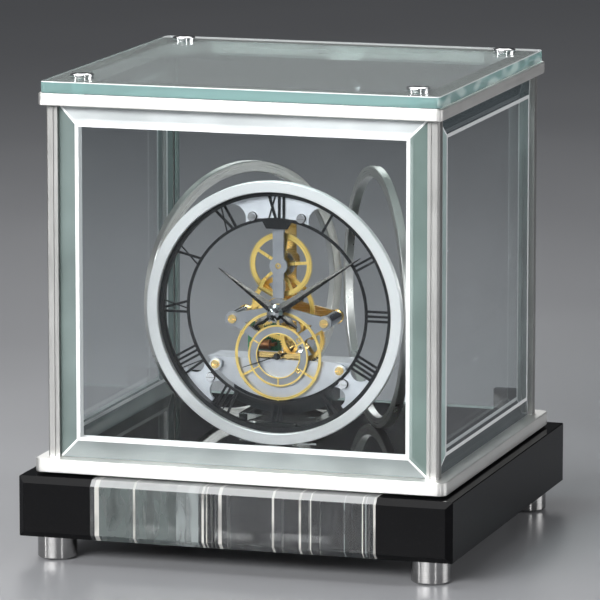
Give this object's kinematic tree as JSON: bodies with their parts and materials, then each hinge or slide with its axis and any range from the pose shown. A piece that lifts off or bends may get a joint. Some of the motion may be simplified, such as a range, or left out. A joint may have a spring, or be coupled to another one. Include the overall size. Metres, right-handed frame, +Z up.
{
  "type": "skeleton clock",
  "caption": "Battery skeleton clock in a square glass case on a black base, its pierced dial and gilt train held by three upright metal rings.",
  "frame": {"origin": "on the ground under the centre of the case", "axes": "+X to the viewer's right, +Y to the back, +Z up"},
  "size_m": [0.2174, 0.2096, 0.235],
  "materials": {
    "black_lacquer": "deep gloss black lacquer",
    "crystal": "clear polished crystal",
    "polished_steel": "turned and polished",
    "dark_steel": "blackened steel",
    "satin_silver": "fine satin silver",
    "case_glass": "clear, bevelled edges",
    "top_glass": "thick clear glass with green edges",
    "chrome": "mirror chrome",
    "brushed_ring": "circular brushed",
    "dial_black": "semi-gloss black",
    "plate_silver": "fine matt silver",
    "brass": "polished brass",
    "gilt": "gilt",
    "jewel": "polished bearing rings",
    "arbor_steel": "polished steel",
    "hand_black": "satin gunmetal black",
    "housing_black": "gloss black moulding",
    "battery_skin": "plain printed sleeve, no text",
    "board_green": "solder-masked board",
    "copper": "enamelled copper winding"
  },
  "bodies": {
    "case": {"base_block": "black_lacquer", "battery": "battery_skin", "bridge_screws": "brass", "circuit_board": "board_green", "crystal_block": "crystal", "dial": "dial_black", "dial_screws": "chrome", "door_catch": "chrome", "drive_coil": "copper", "floor_plate": "black_lacquer", "foot_front_left": "polished_steel", "foot_front_right": "polished_steel", "foot_rear_left": "polished_steel", "foot_rear_right": "polished_steel", "foot_screws": "dark_steel", "front_bar": "plate_silver", "front_bridge": "plate_silver", "front_glass": "case_glass", "front_ring": "brushed_ring", "hinge_pins": "chrome", "housing": "housing_black", "jewels": "jewel", "left_bracket": "plate_silver", "left_glass": "case_glass", "left_ring": "brushed_ring", "lower_band": "satin_silver", "lower_cover": "chrome", "pedestal": "crystal", "pillars": "polished_steel", "post_front_left": "satin_silver", "post_front_right": "satin_silver", "post_rear_left": "satin_silver", "post_rear_right": "satin_silver", "rear_plate": "brass", "right_bracket": "plate_silver", "right_glass": "case_glass", "right_ring": "brushed_ring", "seconds_chapter": "gilt", "seconds_cock": "brass", "top_bracket": "plate_silver", "top_caps": "chrome", "top_glass": "top_glass", "upper_band": "satin_silver"},
    "door": {"rear_door": "case_glass", "door_fittings": "chrome", "door_knob": "chrome"},
    "minute_train": {"centre_wheel": "gilt", "centre_arbor": "arbor_steel", "minute_hand": "hand_black", "hand_cap": "chrome", "setting_knob": "dark_steel"},
    "hour_train": {"hour_wheel": "gilt", "hour_hand": "hand_black"},
    "motion_train": {"motion_wheel": "gilt"},
    "third_train": {"third_wheel": "gilt", "third_arbor": "arbor_steel"},
    "seconds_train": {"seconds_arbor": "arbor_steel", "seconds_hand": "hand_black"},
    "top_train": {"top_wheel": "gilt", "top_arbor": "arbor_steel"}
  },
  "joints": [
    {"name": "door_swing", "type": "hinge", "parent": "case", "child": "door", "pos_m": [0, 0.0869, 0.0545], "axis": [-1, 0, 0], "range_deg": [0, 90]},
    {"name": "minute_spin", "type": "hinge", "parent": "case", "child": "minute_train", "pos_m": [0, -0.025, 0.1159], "axis": [0, 1, 0], "continuous": true},
    {"name": "hour_spin", "type": "hinge", "parent": "case", "child": "hour_train", "pos_m": [0, -0.025, 0.1159], "axis": [0, 1, 0], "continuous": true},
    {"name": "motion_spin", "type": "hinge", "parent": "case", "child": "motion_train", "pos_m": [-0.00822, -0.025, 0.11415], "axis": [0, 1, 0], "continuous": true},
    {"name": "third_spin", "type": "hinge", "parent": "case", "child": "third_train", "pos_m": [0.0106, -0.025, 0.10178], "axis": [0, 1, 0], "continuous": true},
    {"name": "seconds_spin", "type": "hinge", "parent": "case", "child": "seconds_train", "pos_m": [0, -0.025, 0.09375], "axis": [0, 1, 0], "continuous": true},
    {"name": "top_spin", "type": "hinge", "parent": "case", "child": "top_train", "pos_m": [0, -0.025, 0.13805], "axis": [0, 1, 0], "continuous": true}
  ],
  "couplings": [
    {"joint": "hour_spin", "follows": "minute_spin", "ratio": 0.083333},
    {"joint": "motion_spin", "follows": "minute_spin", "ratio": -0.33333},
    {"joint": "third_spin", "follows": "minute_spin", "ratio": -10},
    {"joint": "seconds_spin", "follows": "minute_spin", "ratio": 60},
    {"joint": "top_spin", "follows": "minute_spin", "ratio": -2.6316}
  ]
}
